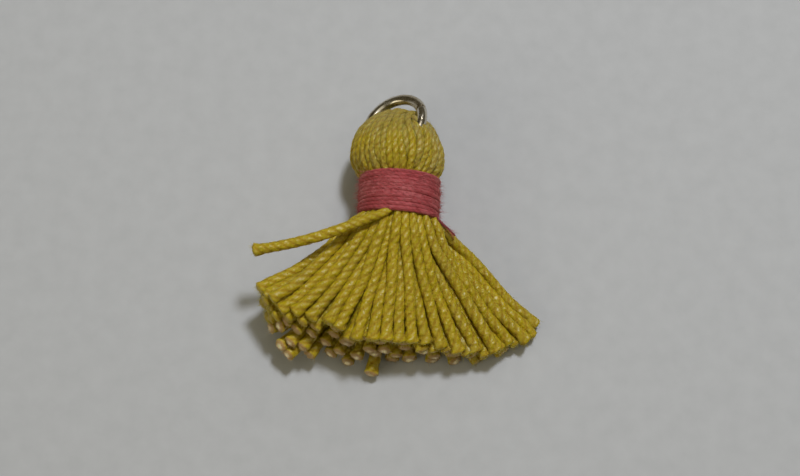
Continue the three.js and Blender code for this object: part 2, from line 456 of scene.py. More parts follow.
def add_node(
    tree: bpy.types.NodeTree, kind: str, inputs: Optional[Dict[Key, object]] = None,
    stops: Sequence[Tuple[float, str]] = (), **settings: object,
) -> bpy.types.Node:
    """Adds a node with its settings, its values and its links.

    Args:
        tree: The node tree that the node goes into.
        kind: The node's Blender type, without the word that all of them start with.
        inputs: A value or an output socket for each named or numbered input.
        stops: Positions and hex colours, for a colour ramp.
        **settings: The node's own properties.

    Returns:
        The new node.
    """
    made = tree.nodes.new("ShaderNode" + kind)
    for name, value in settings.items():
        setattr(made, name, value)
    for name, value in (inputs or {}).items():
        if isinstance(value, Socket):
            tree.links.new(value, made.inputs[name])
        else:
            made.inputs[name].default_value = value
    for place, (position, colour) in enumerate(stops):
        ramp = made.color_ramp.elements
        stop = ramp[place] if place < len(ramp) else ramp.new(position)
        stop.position, stop.color = position, linear(colour)
    return made


class Recipe:
    """A node material in the making. Each method adds a node and returns its output."""

    def __init__(self, name: str) -> None:
        """Starts an empty material with the places of its points, in metres."""
        self.material = bpy.data.materials.new(name)
        self.material.use_nodes = True
        self.tree = self.material.node_tree
        self.tree.nodes.clear()
        self.here = add_node(self.tree, "TexCoord").outputs["Object"]

    def spots(self, scale: float, detail: float, roughness: float = 0.5) -> Socket:
        """Adds noise in space, with about so many spots to a metre."""
        inputs = {"Vector": self.here, "Scale": scale, "Detail": detail, "Roughness": roughness}
        return add_node(self.tree, "TexNoise", inputs).outputs["Fac"]

    def streaks(self, across: float, along: float, detail: float, roughness: float) -> Socket:
        """Adds noise on a strand, with about so many spots round it and so many to a millimetre."""
        strand = add_node(self.tree, "UVMap", uv_map="Strand").outputs["UV"]
        lay = add_node(self.tree, "Mapping", {"Vector": strand, "Scale": (across, along, 1.0)})
        inputs = {"Vector": lay.outputs["Vector"], "Scale": 1.0, "Detail": detail, "Roughness": roughness}
        return add_node(self.tree, "TexNoise", inputs, noise_dimensions="2D").outputs["Fac"]

    def carried(self, label: str) -> Socket:
        """Adds what the mesh's corners carry under a label."""
        return add_node(self.tree, "Attribute", attribute_name=label).outputs["Fac"]

    def joined(self, operation: str, *values: Socket) -> Socket:
        """Adds a sum or a product of two values."""
        return add_node(self.tree, "Math", dict(enumerate(values)), operation=operation).outputs["Value"]

    def ranged(self, value: Socket, start: Pair, end: Pair = (0.0, 1.0)) -> Socket:
        """Turns one range of a value into another range, and holds it there."""
        limits = dict(zip(("From Min", "From Max", "To Min", "To Max"), (*start, *end)))
        return add_node(self.tree, "MapRange", {"Value": value, **limits}).outputs["Result"]

    def ramp(self, value: Socket, *stops: Tuple[float, str]) -> Socket:
        """Turns a value into colours."""
        return add_node(self.tree, "ValToRGB", {"Fac": value}, stops).outputs["Color"]

    def mixed(self, share: Socket, first: object, second: object) -> Socket:
        """Mixes two colours."""
        return add_node(self.tree, "Mix", {0: share, 6: first, 7: second}, data_type="RGBA").outputs[2]

    def dyed(self, colour: object, value: object, strength: object = 1.0) -> Socket:
        """Changes how bright and how strong a colour is."""
        inputs = {"Color": colour, "Value": value, "Saturation": strength}
        return add_node(self.tree, "HueSaturation", inputs).outputs["Color"]

    def bump(self, height: object, strength: float, depth: float, under: object = None) -> Socket:
        """Raises the surface by so many millimetres, on top of another bump if there is one."""
        inputs = {"Height": height, "Strength": strength, "Distance": depth * MM}
        if under is not None:
            inputs["Normal"] = under
        return add_node(self.tree, "Bump", inputs).outputs["Normal"]

    def finish(self, inputs: Dict[Key, object]) -> bpy.types.Material:
        """Adds the surface itself with its inputs, and returns the material."""
        shader = add_node(self.tree, "BsdfPrincipled", inputs)
        add_node(self.tree, "OutputMaterial", {"Surface": shader.outputs["BSDF"]})
        return self.material


@dataclass(frozen=True)
class MercerisedCotton:
    """Three-ply mercerised cotton yarn, dyed mustard.

    Mercerising swells the fibres and makes them round, so the crest of each ply catches the light as a soft
    bead; the colour is painted darker and warmer towards the grooves between the plies, as painted shade.
    """

    crest: str = "#a69320"
    flank: str = "#9f8a17"
    painted_groove_shade: str = "#957716"
    pale: str = "#c4ac40"
    cut_face_shade: str = "#aa8a56"
    pale_core_and_light: str = "#f8eabf"
    sheen: str = "#e6d27a"
    fibres_round: float = 22.0
    fibre_length: float = 1.3
    roughness: float = 0.4

    def make(self) -> bpy.types.Material:
        """Builds the material from the strand's own texture places and what its mesh carries."""
        recipe = Recipe("mercerised_cotton_yarn")
        # The fibres lie along the yarn, about 22 visible ones round it and a millimetre or so long.
        fibre = recipe.streaks(self.fibres_round, 1 / self.fibre_length, 3.0, 0.6)
        groove = recipe.carried("groove")
        # Painted shade: the colour goes from the crest through the flank to a dark painted groove shade
        # between the plies.
        ply = recipe.ramp(groove, (0.0, self.crest), (0.35, self.flank), (0.75, self.painted_groove_shade))
        with_painted_shade = recipe.mixed(recipe.ranged(fibre, (0.35, 0.7), (0.0, 0.45)), ply, linear(self.pale))
        # A cut face is painted darker, as painted shade where the light runs into its fibres, and paler in
        # its middle, partly for the undyed core of the yarn and partly as painted light on the cut ends.
        cut = recipe.carried("cut")
        face = recipe.ramp(cut, (0.4, self.cut_face_shade), (0.78, self.pale_core_and_light))
        faced = recipe.mixed(recipe.ranged(cut, (0.02, 0.22)), with_painted_shade, face)
        # Each yarn has its own shade, with painted shade in the head and over the fold, and dye takes a
        # little unevenly over lengths of about 3 mm.
        shade = recipe.joined("ADD", recipe.carried("tone"), recipe.spots(330.0, 2.0))
        value = recipe.ranged(shade, (-1.0, 1.8), (0.6, 1.2))
        strength = recipe.ranged(shade, (-0.6, 0.8), (0.77, 1.04))
        # Small tufts, about half a millimetre long, break the crests into separate glints.
        tufts = recipe.bump(recipe.streaks(5.0, 2.2, 1.0, 0.5), 1.0, 0.17)
        return recipe.finish({
            "Base Color": recipe.dyed(faced, value, strength), "IOR": 1.54, "Specular IOR Level": 0.45,
            # The crests are polished by handling, and the grooves stay matt.
            "Roughness": recipe.ranged(groove, (0.1, 0.6), (self.roughness, 0.9)),
            "Subsurface Weight": 0.5, "Subsurface Radius": (1.0, 0.7, 0.3), "Subsurface Scale": 0.5 * MM,
            "Sheen Weight": 0.06, "Sheen Roughness": 0.4, "Sheen Tint": linear(self.sheen),
            "Normal": recipe.bump(fibre, 0.5, 0.03, tufts),
        })


@dataclass(frozen=True)
class SpunPolyester:
    """Two-ply spun polyester sewing thread in a pinkish red.

    It is spun from short fibres, so it is matt and slightly hairy, and it looks paler where the hairs
    stand up in the light.
    """

    crest: str = "#b3474a"
    painted_groove_shade: str = "#9a3a3d"
    pale: str = "#cf7c7a"
    sheen: str = "#f0a89c"
    roughness: float = 0.7

    def make(self) -> bpy.types.Material:
        """Builds the material from the strand's own texture places and what its mesh carries."""
        recipe = Recipe("spun_polyester_thread")
        fibre = recipe.streaks(9.0, 1.6, 3.0, 0.6)
        # Painted shade: the colour darkens from the crest to the groove between the plies.
        ply = recipe.ramp(recipe.carried("groove"), (0.0, self.crest), (0.9, self.painted_groove_shade))
        # Patches of raised hairs, about 2 mm across, make the thread paler in places.
        hairs = recipe.joined("MULTIPLY", fibre, recipe.spots(640.0, 3.0, 0.7))
        with_painted_shade = recipe.mixed(recipe.ranged(hairs, (0.2, 0.4), (0.0, 0.6)), ply, linear(self.pale))
        value = recipe.ranged(recipe.carried("tone"), (0.0, 1.0), (0.45, 1.4))
        return recipe.finish({
            "Base Color": recipe.dyed(with_painted_shade, value), "Roughness": self.roughness, "IOR": 1.6,
            "Specular IOR Level": 0.3,
            "Sheen Weight": 0.45, "Sheen Roughness": 0.5, "Sheen Tint": linear(self.sheen),
            "Normal": recipe.bump(fibre, 0.5, 0.02),
        })


@dataclass(frozen=True)
class NickelPlate:
    """Nickel-plated steel wire, drawn and barrel plated.

    The plate is bright with a warm cast, and tumbling leaves fine scratches and a faint dullness, so
    reflections are clear but slightly spread.
    """

    colour: str = "#d6cfbf"
    dull: str = "#b5a88f"
    roughness: float = 0.21

    def make(self) -> bpy.types.Material:
        """Builds the material from places in space."""
        recipe = Recipe("nickel_plated_steel")
        # Tumbling marks, about 0.3 mm across.
        mark = recipe.spots(3300.0, 3.0, 0.6)
        spread = (self.roughness * 0.7, self.roughness * 1.5)
        return recipe.finish({
            "Base Color": recipe.ramp(recipe.spots(700.0, 2.0), (0.35, self.dull), (0.6, self.colour)),
            "Metallic": 1.0, "Roughness": recipe.ranged(mark, (0.3, 0.7), spread),
            "Normal": recipe.bump(mark, 0.12, 0.01),
        })


@dataclass(frozen=True)
class PaleLaminate:
    """Matt pale grey laminate, pressed against a fine matt sheet, under the tassel."""

    light: str = "#b8b9b8"
    dark: str = "#b3b4b3"

    def make(self) -> bpy.types.Material:
        """Builds the material from places in space."""
        recipe = Recipe("matt_grey_laminate")
        # The pressed grain is about 1.5 mm across and very faint.
        colour = recipe.ramp(recipe.spots(650.0, 3.0), (0.3, self.dark), (0.7, self.light))
        return recipe.finish({"Base Color": colour, "Roughness": 0.75, "IOR": 1.5})


# ----- Camera, floor and light -----


class Panel(NamedTuple):
    """A square light panel: its offset and side in millimetres, and its power in watts."""

    name: str
    offset: Vector
    size: float
    power: float
    colour: str


PANELS = (
    # The key light stands behind on the right.
    Panel("key", on_sky(28.0, 66.0) * 400, 50.0, 1.04, "#eff3ff"),
    # Light from a wall on the left reaches the cut ends and the shade beside the binding.
    Panel("front", on_sky(234.0, 30.0) * 400, 260.0, 0.28, "#fff8e0"),
    # A small far lamp glints on the ring.
    Panel("lamp", on_sky(15.0, 38.0) * 500, 16.0, 0.07, "#ffffff"),
    # The soft fill hangs above.
    Panel("fill", Vector((80.0, 60.0, 450.0)), 500.0, 0.45, "#fff8e0"),
)


@dataclass(frozen=True)
class Studio:
    """The camera, the pale surface and the soft light, in millimetres and degrees."""

    elevation: float = 75.0
    azimuth: float = 2.0
    distance: float = 120.0
    lens: float = 63.7
    sensor: float = 36.0
    aim_height: float = 4.0
    aim_down: float = 3.35
    aim_right: float = 0.06
    lit: Triple = (0.0, -4.0, 2.0)
    air: str = "#78715c"
    air_strength: float = 0.42
    floor: float = 6000.0

    def add_facing(self, name: str, data: bpy.types.ID, spot: Vector, target: Vector) -> bpy.types.Object:
        """Adds a camera or a light.

        Args:
            name: Its name.
            data: Its settings.
            spot: Where it stands.
            target: What it faces.

        Returns:
            The new object.
        """
        made = bpy.data.objects.new(name, data)
        made.location = spot
        made.rotation_mode = "QUATERNION"
        made.rotation_quaternion = (target - spot).to_track_quat("-Z", "Y")
        bpy.context.scene.collection.objects.link(made)
        return made

    def place_camera(self, place: SettingOut) -> None:
        """Puts the camera over the skirt, where it looks down on the binding."""
        turn = math.radians(self.azimuth)
        back = on_sky(180.0 - self.azimuth, self.elevation)
        right = Vector((math.cos(turn), math.sin(turn), 0.0))
        binding = Vector(place.metres([0.0, 0.0, self.aim_height]))
        data = bpy.data.cameras.new("camera")
        data.lens, data.sensor_width, data.clip_start, data.clip_end = self.lens, self.sensor, 0.005, 20.0
        aim = binding + (right * self.aim_right - back.cross(right) * self.aim_down) * MM
        spot = binding + back * self.distance * MM
        bpy.context.scene.camera = self.add_facing("camera", data, spot, aim)

    def lay_floor(self) -> None:
        """Lays the surface that the tassel rests on."""
        bpy.ops.object.select_all(action="DESELECT")
        bpy.ops.mesh.primitive_plane_add(size=self.floor * MM, location=(0.0, 0.0, 0.0))
        floor = bpy.context.active_object
        floor.name = "surface"
        floor.data.materials.append(PaleLaminate().make())

    def light(self, place: SettingOut) -> None:
        """Sets up the key light, the wall's light on the left, the lamp, the fill and the dim room."""
        target = Vector(place.metres(self.lit))
        for panel in PANELS:
            data = bpy.data.lights.new(panel.name, "AREA")
            data.shape, data.size, data.energy = "SQUARE", panel.size * MM, panel.power
            data.color = linear(panel.colour)[:3]
            self.add_facing(panel.name, data, target + panel.offset * MM, target)
        scene = bpy.context.scene
        scene.world = bpy.data.worlds.new("room")
        scene.world.use_nodes = True
        tree = scene.world.node_tree
        tree.nodes.clear()
        air = add_node(tree, "Background", {"Color": linear(self.air), "Strength": self.air_strength})
        add_node(tree, "OutputWorld", {"Surface": air.outputs["Background"]})
        scene.view_settings.view_transform = "Standard"
        scene.view_settings.look = "None"


# ----- The jump ring -----


@dataclass
class JumpRing:
    """A split ring of round wire, closed to a thin seam, in millimetres and degrees."""

    outer: float = 6.1
    wire: float = 0.9
    seam: float = 0.12
    normal: Triple = (-0.46, 0.346, 0.817)
    seam_way: Triple = (1.0, 0.25, 0.0)
    section_sides: int = 28
    steps: int = 180
    edge: float = 0.06
    merge: float = 0.001
    smooth_below: float = 40.0

    @property
    def radius(self) -> float:
        """The radius of the wire's middle line."""
        return (self.outer - self.wire) / 2

    def centre(self, place: SettingOut) -> Array:
        """Returns the ring's centre in set-out millimetres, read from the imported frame."""
        return place.millimetres(np.mean(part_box("jump_ring"), axis=0))

    def build(self, place: SettingOut) -> bpy.types.Object:
        """Bends the wire round, bevels its two cut ends and leans the ring as it lies.

        Args:
            place: The setting-out that gives the frame's metres.

        Returns:
            The finished ring.
        """
        bpy.ops.object.select_all(action="DESELECT")
        bpy.ops.mesh.primitive_circle_add(
            vertices=self.section_sides, radius=self.wire / 2 * MM, fill_type="NGON",
            location=(self.radius * MM, 0.0, 0.0), rotation=(math.pi / 2, 0.0, 0.0),
        )
        ring = bpy.context.active_object
        ring.name = "split_ring"
        bpy.ops.object.transform_apply(location=True, rotation=True, scale=True)
        gap = self.seam / self.radius
        bpy.ops.object.mode_set(mode="EDIT")
        bpy.ops.mesh.select_all(action="SELECT")
        bpy.ops.mesh.spin(steps=self.steps, angle=TURN - gap, center=(0.0, 0.0, 0.0), axis=(0.0, 0.0, 1.0))
        bpy.ops.mesh.select_all(action="SELECT")
        bpy.ops.mesh.remove_doubles(threshold=self.merge * MM)
        bpy.ops.mesh.select_all(action="DESELECT")
        bpy.ops.mesh.select_mode(type="EDGE")
        bpy.ops.mesh.select_non_manifold()
        bpy.ops.mesh.fill_holes(sides=0)
        bpy.ops.mesh.select_all(action="SELECT")
        bpy.ops.mesh.normals_make_consistent(inside=False)
        bpy.ops.object.mode_set(mode="OBJECT")
        ends = [face for face in ring.data.polygons if len(face.vertices) == self.section_sides]
        keys = {key for face in ends for key in face.edge_keys}
        for parts in (ring.data.polygons, ring.data.vertices):
            parts.foreach_set("select", [False] * len(parts))
        for edge in ring.data.edges:
            edge.select = edge.key in keys
        bpy.ops.object.mode_set(mode="EDIT")
        bpy.ops.mesh.bevel(offset=self.edge * MM, segments=2, affect="EDGES")
        bpy.ops.object.mode_set(mode="OBJECT")
        normal, seam = Vector(self.normal).normalized(), Vector(self.seam_way)
        seam = (seam - normal * seam.dot(normal)).normalized()
        turned = Matrix((seam, normal.cross(seam), normal)).transposed().to_4x4()
        centre = Vector(place.metres(self.centre(place)))
        ring.matrix_world = Matrix.Translation(centre) @ turned @ Matrix.Rotation(gap / 2, 4, "Z")
        bpy.ops.object.transform_apply(location=True, rotation=True, scale=True)
        bpy.ops.object.shade_smooth_by_angle(angle=math.radians(self.smooth_below))
        return ring

    def dress(self, ring: bpy.types.Object) -> None:
        """Gives the ring its finish and its place in the frame's table."""
        ring.data.materials.clear()
        ring.data.materials.append(NickelPlate().make())
        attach(ring, "root")
        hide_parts("jump_ring")


# ----- The yarn -----


class HeadSection(NamedTuple):
    """The head's outline at one place along the tassel, in millimetres."""

    along: float
    across: float
    half_width: float
    half_height: float


class EndRow(NamedTuple):
    """One layer of the skirt's cut ends.

    It has a share of the lower layers' extra length, may be denser on the left than on the right, and
    shows more or less of the pale middle of its yarns' cut faces, which is partly painted light.
    """

    level: Level
    count: int
    spread: float
    lift: float
    under: float
    crowding: float
    pale: float


HEAD = (
    HeadSection(1.9, -0.05, 3.2, 3.1),
    HeadSection(2.05, -0.15, 3.8, 3.6),
    HeadSection(2.35, -0.25, 4.0, 3.85),
    HeadSection(2.8, -0.28, 4.05, 4.0),
    HeadSection(3.5, -0.28, 4.07, 4.05),
    HeadSection(4.4, -0.2, 4.1, 4.05),
    HeadSection(5.3, -0.12, 4.0, 3.75),
    HeadSection(6.1, -0.05, 3.55, 3.15),
    HeadSection(6.8, 0.0, 2.9, 2.45),
    HeadSection(7.35, -0.1, 2.05, 1.8),
    HeadSection(7.8, -0.15, 1.2, 1.2),
)

CUT_ENDS = (
    EndRow(Level.TOP, 20, 0.985, 0.84, 0.0, 1.0, 0.0),
    EndRow(Level.UPPER, 19, 0.933, 0.52, 0.1, 1.0, 0.25),
    EndRow(Level.MIDDLE, 16, 0.9, 0.12, 0.36, 1.45, 1.0),
    EndRow(Level.LOWER, 18, 0.92, -0.35, 0.68, 1.55, 1.0),
    EndRow(Level.BOTTOM, 18, 0.94, -0.84, 1.0, 1.6, 1.0),
)

# How long the skirt is from its left side, at -1, to its right side, at 1.
TRIM = (
    (-1.0, 10.05), (-0.75, 10.2), (-0.55, 9.9), (-0.43, 9.4), (-0.3, 9.9),
    (0.0, 9.8), (0.25, 10.1), (0.4, 10.6), (0.68, 11.75), (0.92, 11.85), (1.0, 11.5),
)

# How much longer its lowest yarns are.
UNDER_TRIM = (
    (-1.0, -0.4), (-0.8, 1.2), (-0.6, 2.8), (-0.35, 1.8), (0.0, 1.0), (0.4, 0.45), (1.0, -0.4),
)

# A yarn's radius along the tassel, which is least in the binding.
YARN_RADIUS = (
    (-14.0, 0.5), (-9.0, 0.455), (-3.6, 0.42), (-1.9, 0.33), (-1.2, 0.29),
    (1.2, 0.29), (1.9, 0.33), (3.2, 0.38), (4.5, 0.365), (6.2, 0.295), (8.0, 0.265),
)

# How far a ply goes in one turn: the yarn is tightly twisted in the head and opens in the skirt.
YARN_PITCH = ((-12.0, 2.9), (-6.0, 2.5), (0.0, 2.1), (4.0, 1.9))


def looked_up(place: Values, table: Sequence[Pair]) -> Values:
    """Returns a table's values at some places between its rows."""
    return np.interp(place, *zip(*table))


def head_outline(along: Values) -> Tuple[Values, Values, Values]:
    """Returns the middle, half width and half height of the head at places along the tassel."""
    places = [row.along for row in HEAD]
    columns = zip(*((row.across, row.half_width, row.half_height) for row in HEAD))
    return tuple(np.interp(along, places, column) for column in columns)


@dataclass
class YarnHank:
    """46 lengths of yarn, folded through the ring and bound, in set-out millimetres and degrees."""

    centre: Array
    ring_radius: float
    wire: float
    ring_normal: Triple = JumpRing.normal
    yarns: int = 46
    nodes: int = 97
    node_step: int = 2
    # The binding and the head.
    axis_height: float = 4.0
    band_half: float = 1.9
    band_inner: float = 3.05
    neck_room: float = 0.32
    head_room: float = 0.4
    head_places: Tuple[float, ...] = (2.3, 3.0, 3.8, 4.6, 5.4)
    place_gap: float = 0.45
    top: float = 7.8
    # The parting round the wire, the ring's eye and the fold over it.
    beside_wire: float = 0.73
    bare_side: float = 0.1
    part_length: float = 1.7
    part_width: float = 3.2
    eye_room: float = 0.33
    eye_width: float = 0.86
    eye_left: float = 0.3
    eye_depth: float = 3.7
    fold_inner: float = 0.55
    fold_outer: float = 0.95
    # The skirt's fan and its cut ends.
    skirt_start: float = -2.5
    skirt_half_width: float = 3.3
    right_lean: float = 49.0
    left_lean: float = 53.5
    end_centre: float = 2.75
    end_half: float = 2.75
    right_droop: float = 2.3
    right_thin: float = 0.45
    right_pull: float = 0.4
    left_sag: float = 0.7
    fan_reach: float = 9.0
    # The leg that strays, by where it starts in the neck, and the longest end.
    loose_start: Pair = (-0.7, 2.6)
    loose_route: Tuple[Triple, ...] = (
        (-0.9, -2.15, 7.25), (-2.2, -2.6, 7.5), (-3.65, -3.27, 7.6),
        (-6.6, -4.45, 7.6), (-9.1, -5.15, 7.55), (-11.6, -5.65, 7.4),
    )
    long_end: Pair = (-0.13, 0.85)
    # What the spun yarn adds to its line.
    curl: float = 0.2
    curl_length: float = 0.9
    plump: float = 1.07
    dull_head: float = 0.35
    fold_shade: float = 0.6
    # The relaxing: how often, and how strongly each step acts.
    rounds: int = 160
    pair_rounds: int = 8
    push_share: float = 0.55
    edge_zone: Pair = (1.6, 3.3)
    edge_give: float = 0.08
    give: float = 0.25
    fan_start: float = -3.5
    fan_pull: float = 0.08
    # The random draws, the fibres and the twist.
    seed: int = 7
    fuzz: FibreKind = FibreKind(90, 0.35, 0.95, 0.012)
    brush: FibreKind = FibreKind(40, 0.12, 0.48, 0.02)
    twist: Twist = Twist()
    # What laying works out.
    loose_leg: int = 0
    paleness: Dict[int, float] = field(default_factory=dict)
    normal: Array = field(init=False)
    front_way: Array = field(init=False)
    level_way: Array = field(init=False)

    def __post_init__(self) -> None:
        """Works out which way the fold faces, from the ring's lean."""
        self.normal = unit(self.ring_normal)
        self.front_way = unit([self.normal[0], 0.0, self.normal[2]])
        self.level_way = np.array([self.front_way[2], 0.0, -self.front_way[0]])

    def room(self, points: Array) -> Array:
        """Returns the radius that a yarn has at each point."""
        return looked_up(points[..., 1], YARN_RADIUS)

    def cut_ends(self, rng: Random) -> Array:
        """Places the cut ends in their layers.

        Args:
            rng: Gives each end its small unevenness.

        Returns:
            A row for each end: its place, then how far sideways and how high it is in the end face,
            and how pale its cut face is.
        """
        rows = []
        for row in CUT_ENDS:
            side = row.spread * (2 * np.linspace(0, 1, row.count) ** row.crowding - 1)
            side = side + rng.uniform(-0.22, 0.22, row.count) * 2 * row.spread / row.count
            side, longer = np.clip(side, -1, 1), np.zeros(row.count)
            if row.level is Level.BOTTOM:
                nearest = int(np.argmin(np.abs(side - self.long_end[0])))
                side[nearest], longer[nearest] = self.long_end
            lean = np.where(side > 0, self.right_lean * np.abs(side) ** 1.15, self.left_lean * side)
            yaw = np.radians(lean)
            reach = looked_up(side, TRIM) + row.under * looked_up(side, UNDER_TRIM)
            reach = reach + rng.uniform(-0.25, 0.25, row.count) + longer
            lift = row.lift * np.sqrt(1 - (0.98 * side) ** 2)
            half = self.end_half * (1 - self.right_thin * np.clip(side, 0, 1))
            height = self.end_centre + half * lift - self.right_droop * side
            height = np.maximum(height + rng.uniform(-0.2, 0.2, row.count), 0.5)
            across = self.skirt_half_width * side + reach * np.sin(yaw)
            # The ends of the right side point into their own shade, and those of the left corner show
            # more of their flanks, so none of them looks pale.
            pale = row.pale * rng.choice([0.4, 0.65, 0.9, 1.0], row.count)
            pale = pale * np.select([side > 0.5, side < -0.78], [0.2, 0.08], 1.0)
            rows.append(
                np.stack([across, self.skirt_start - reach * np.cos(yaw), height, side, lift, pale], axis=1)
            )
        return np.vstack(rows)

    def lay(self, rng: Random) -> Array:
        """Lays each yarn from one cut end, through the ring's eye, to its other cut end.

        Args:
            rng: Gives the small unevenness.

        Returns:
            The yarns' points, one row of points for each yarn.
        """
        onward = unit(np.array([0.0, 1.0, 0.0]) - self.normal[1] * self.normal)
        sideways = np.cross(onward, self.normal)
        sideways = sideways * np.sign(sideways[0])
        reach = self.band_inner - self.neck_room
        neck = sunflower(2 * self.yarns, reach)
        depth, slide = neck @ self.front_way[[0, 2]], neck @ self.level_way[[0, 2]]
        # The ring's raised side stays bare: the yarns beside it pass behind the wire.
        order = np.argsort(self.bare_side * slide - depth)
        front, back = order[: self.yarns], order[self.yarns :]
        facing = np.stack([slide, depth], axis=1)
        back = back[matched(facing[front], facing[back] * (1, -1))]
        wanted = np.stack(
            [(slide[front] + slide[back]) / 2 / reach, (depth[front] - depth[back]) / reach - 1], axis=1
        )
        eye_radius = self.ring_radius - self.wire - self.eye_room
        eye = sunflower(self.yarns, eye_radius)
        # The yarns crowd a little to the left in the eye.
        eye = eye[matched(wanted, eye / eye_radius)] * (self.eye_width, 1.0) - (self.eye_left, 0.0)
        legs = np.vstack([neck[front], neck[back]])
        self.loose_leg = int(np.argmin(np.linalg.norm(legs - self.loose_start, axis=1)))
        others = np.delete(np.arange(len(legs)), self.loose_leg)
        ends = self.cut_ends(rng)
        ends = dict(zip(others.tolist(), ends[matched(legs[others] / reach, ends[:, 3:5])]))
        self.paleness = {leg: float(end[5]) for leg, end in ends.items()}
        routes = []
        for yarn, (across, ahead) in enumerate(eye):
            crossing = self.centre + across * sideways + ahead * onward
            wire_ahead = -math.sqrt(self.ring_radius**2 - across**2)
            wire = self.centre + across * sideways + wire_ahead * onward
            split = float(wire @ self.front_way - self.axis_height * self.front_way[2])
            outer = float(np.clip((ahead - wire_ahead - self.beside_wire) / self.eye_depth, 0, 1))
            turn = float(crossing[1] - self.fold_inner - self.fold_outer * outer)
            places = [place for place in self.head_places if place < turn - self.place_gap]
            halves = []
            for leg in (yarn, self.yarns + yarn):
                x, z = legs[leg]
                upper = np.array([x, self.band_half, self.axis_height + z])
                lower = np.array([x, -self.band_half, self.axis_height + z])
                skirt = np.array(self.loose_route)
                if leg != self.loose_leg:
                    skirt = self.in_skirt(lower, ends[leg][:3], rng)
                head = [self.in_head(x, z, place, split, leg < self.yarns) for place in [*places, turn]]
                halves.append([*skirt[::-1], lower, (upper + lower) / 2, upper, *head])
            routes.append(smooth_route(np.array([*halves[0], crossing, *halves[1][::-1]]), self.nodes))
        return np.array(routes)

    def in_skirt(self, lower: Array, cut: Array, rng: Random) -> List[Array]:
        """Finds where a leg of yarn passes in the skirt, sagging on the left and drawn in on the right.

        Args:
            lower: Where the leg leaves the binding.
            cut: Its cut end.
            rng: Gives its sway.

        Returns:
            The leg's places, from the binding to the cut end.
        """
        way = cut - lower
        out = -self.right_pull * max(way[0], 0.0) / self.fan_reach
        sag = self.left_sag * min(max(-way[0] / self.fan_reach, 0.0), 1.0)
        places = [lower + way * 0.12 + np.array([out, -0.25, 0])]
        for share in (0.36, 0.6, 0.82):
            sway = rng.uniform(-0.16, 0.16, 3) * (1, 1, 0.7)
            sway[1:] -= 4 * share * (1 - share) * sag * np.array([1.0, 0.4])
            places.append(lower + way * share + sway + np.array([out, 0, 0]))
        return [*places, cut]

    def in_head(self, x: float, z: float, along: float, split: float, front: bool) -> Array:
        """Finds where a leg of yarn passes one section of the head.

        The section is the neck's, swollen to the head's outline, and parted for the ring's wire.

        Args:
            x: The leg's place across in the neck.
            z: Its height in the neck, from the axis.
            along: The section's place along the tassel.
            split: How far in front of the axis the wire lies.
            front: Whether the leg lies in front of the wire.

        Returns:
            The leg's place.
        """
        middle, wide, high = head_outline(along)
        reach, room = self.band_inner - self.neck_room, self.head_room
        place = np.array([x / reach * (wide - room), 0.0, z / reach * (high - room)])
        slide, depth = place @ self.level_way, place @ self.front_way
        limit = math.sqrt(max(((wide + high) / 2 - room) ** 2 - slide**2, 0.04))
        share = min(abs(depth) / limit, 1.0) ** 0.65
        part = float(np.clip((along - self.band_half) / self.part_length, 0, 1))
        wire = split * part * max(0.0, 1 - (slide / self.part_width) ** 2)
        clear = min(self.beside_wire * part, 0.6 * limit)
        if front:
            start = min(wire + clear, 0.8 * limit)
            depth = start + share * (limit - start)
        else:
            start = wire - clear
            depth = start - share * (limit + start)
        return np.array([middle, along, self.axis_height]) + slide * self.level_way + depth * self.front_way

    def near_pairs(self, points: Array, reach: float = 1.15) -> Tuple[Array, Array]:
        """Finds the pairs of points that lie near each other on different stretches of yarn.

        Args:
            points: All yarns' points in one list.
            reach: The side of the search boxes.

        Returns:
            The numbers of the pairs' first and second points.
        """
        strand, spot = np.divmod(np.arange(len(points)), self.nodes)
        cell = np.floor(points / reach).astype(int)
        cell -= cell.min(axis=0) - 1
        size = cell.max(axis=0) + 2
        code = (cell[:, 0] * size[1] + cell[:, 1]) * size[2] + cell[:, 2]
        order = np.argsort(code, kind="stable")
        firsts, seconds = [], []
        for step in np.ndindex(3, 3, 3):
            other = code + ((step[0] - 1) * size[1] + step[1] - 1) * size[2] + step[2] - 1
            low = np.searchsorted(code[order], other, "left")
            count = np.searchsorted(code[order], other, "right") - low
            first = np.repeat(np.arange(len(points)), count)
            within = np.arange(count.sum()) - np.repeat(np.cumsum(count) - count, count)
            second = order[np.repeat(low, count) + within]
            firsts.append(first[first < second])
            seconds.append(second[first < second])
        first, second = np.concatenate(firsts), np.concatenate(seconds)
        apart = (strand[first] != strand[second]) | (np.abs(spot[first] - spot[second]) > 4)
        close = ((points[first] - points[second]) ** 2).sum(axis=1) < reach**2
        return first[apart & close], second[apart & close]

    def part_yarns(self, points: Array, pairs: Tuple[Array, Array]) -> None:
        """Moves overlapping yarns apart, in place.

        Args:
            points: All yarns' points in one list.
            pairs: The pairs to look at.
        """
        first, second = pairs
        room = self.room(points)
        gap = points[second] - points[first]
        size = np.linalg.norm(gap, axis=1) + 1e-9
        push = np.clip(room[first] + room[second] - size, 0, None) * 0.5
        move = gap / size[:, None] * push[:, None]
        total, count = np.zeros_like(points), len(points)
        for axis, part in enumerate(move.T):
            total[:, axis] = np.bincount(second, part, count) - np.bincount(first, part, count)
        hits = np.bincount(first, push > 0, count) + np.bincount(second, push > 0, count)
        points += total / np.clip(hits * self.push_share, 1, None)[:, None]

    def keep_off_wire(self, points: Array) -> None:
        """Moves points out of the ring's wire, in place."""
        off = points - self.centre
        flat = off - (off @ self.normal)[:, None] * self.normal
        core = self.centre + flat / (np.linalg.norm(flat, axis=1, keepdims=True) + 1e-9) * self.ring_radius
        away = points - core
        size = np.linalg.norm(away, axis=1, keepdims=True) + 1e-9
        clear = self.wire + self.room(points)[:, None]
        points[:] = np.where(size < clear, core + away / size * clear, points)

